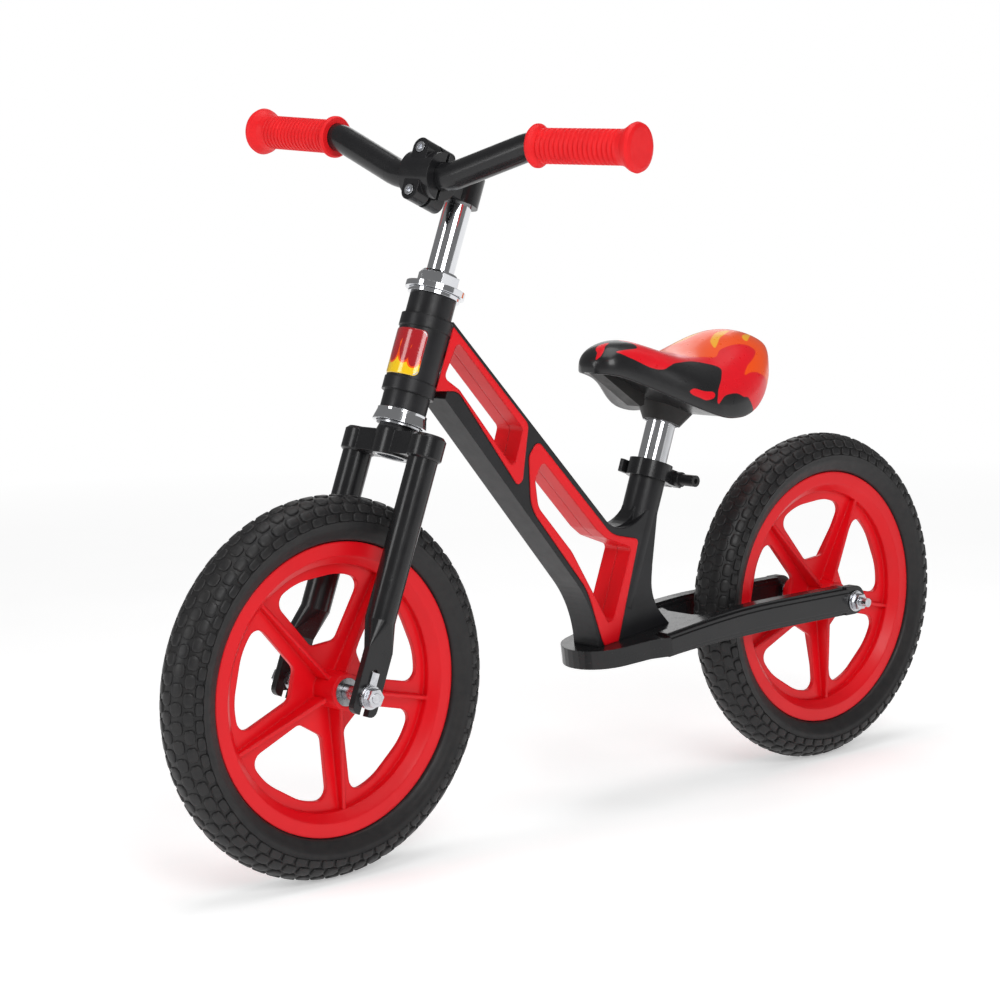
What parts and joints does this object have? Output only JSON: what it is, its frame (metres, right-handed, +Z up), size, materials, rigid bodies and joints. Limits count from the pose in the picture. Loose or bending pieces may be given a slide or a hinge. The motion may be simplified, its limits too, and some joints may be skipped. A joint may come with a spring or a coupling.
{
  "type": "balance bike",
  "caption": "Child's balance bike with a cast frame, low foot plate, foam-tyred spoked plastic wheels, riser handlebar with ribbed grips and a padded flame-patterned saddle.",
  "frame": {"origin": "on the ground midway between the two axles, under the middle of the bike's box", "axes": "+X forward towards the front wheel, +Y to the rider's left, +Z up"},
  "size_m": [0.8692, 0.3966, 0.5985],
  "materials": {
    "cast_black": "satin black paint on the cast frame",
    "gloss_black": "gloss black powder coat",
    "lever_black": "black anodised and moulded clamp parts",
    "red_plastic": "bright red moulded plastic",
    "grip_rubber": "soft red ribbed rubber",
    "badge_film": null,
    "chrome": "bright chrome plate",
    "zinc_steel": "zinc-plated steel fasteners",
    "bearing_steel": "ground bearing steel",
    "tyre_foam": "matte black moulded foam tyre",
    "saddle_vinyl": null,
    "saddle_pan": "grained black plastic"
  },
  "bodies": {
    "frame": {"frame_casting": "cast_black", "front_insert_left": "red_plastic", "front_insert_right": "red_plastic", "rear_insert_left": "red_plastic", "rear_insert_right": "red_plastic", "head_badge": "badge_film", "upper_cup": "chrome", "lower_cup": "chrome", "upper_bearing": "bearing_steel", "lower_bearing": "bearing_steel", "foot_plate": "gloss_black", "left_stay": "gloss_black", "right_stay": "gloss_black", "plate_bolts": "zinc_steel", "seat_collar": "gloss_black", "collar_skewer": "zinc_steel", "collar_nut": "lever_black", "rear_axle": "zinc_steel", "rear_axle_nuts": "zinc_steel", "rear_locknuts": "zinc_steel"},
    "fork": {"fork_crown": "gloss_black", "left_fork_leg": "gloss_black", "right_fork_leg": "gloss_black", "steerer_tube": "zinc_steel", "crown_race": "zinc_steel", "headset_washer": "chrome", "headset_locknut": "chrome", "front_axle": "zinc_steel", "front_axle_nuts": "zinc_steel", "front_tab_washers": "zinc_steel", "front_locknuts": "zinc_steel"},
    "front_wheel": {"front_rim": "red_plastic", "front_tyre": "tyre_foam", "front_wheel_bearings": "bearing_steel"},
    "rear_wheel": {"rear_rim": "red_plastic", "rear_tyre": "tyre_foam", "rear_wheel_bearings": "bearing_steel"},
    "stem": {"stem_post": "chrome", "stem_body": "gloss_black", "stem_cap": "gloss_black", "stem_bolts": "zinc_steel", "stem_wedge": "zinc_steel", "stem_expander_bolt": "zinc_steel"},
    "bars": {"handlebar": "gloss_black", "left_grip": "grip_rubber", "right_grip": "grip_rubber"},
    "seat": {"seat_post": "chrome", "saddle_shell": "saddle_pan", "saddle_pad": "saddle_vinyl", "saddle_screws": "zinc_steel"},
    "lever": {"quick_release_lever": "lever_black"}
  },
  "joints": [
    {"name": "steer", "type": "hinge", "parent": "frame", "child": "fork", "pos_m": [0.28294, 0, 0.14927], "axis": [-0.3633, 0, 0.9317], "continuous": true},
    {"name": "front_wheel_spin", "type": "hinge", "parent": "fork", "child": "front_wheel", "pos_m": [0.2848, 0, 0.15], "axis": [0, 1, 0], "continuous": true},
    {"name": "rear_wheel_spin", "type": "hinge", "parent": "frame", "child": "rear_wheel", "pos_m": [-0.2848, 0, 0.15], "axis": [0, 1, 0], "continuous": true},
    {"name": "stem_height", "type": "slide", "parent": "fork", "child": "stem", "axis": [-0.3633, 0, 0.9317], "range_m": [-0.045, 0.02]},
    {"name": "bar_roll", "type": "hinge", "parent": "stem", "child": "bars", "pos_m": [0.17487, 0.00628, 0.54076], "axis": [-0.1393, 0.9888, -0.0543], "range_deg": [-30, 30]},
    {"name": "seat_height", "type": "slide", "parent": "frame", "child": "seat", "axis": [-0.3502, 0, 0.9367], "range_m": [-0.025, 0.035]},
    {"name": "quick_release", "type": "hinge", "parent": "frame", "child": "lever", "pos_m": [-0.09565, -0.0165, 0.2764], "axis": [0.3502, 0, -0.9367], "range_deg": [0, 120]}
  ]
}
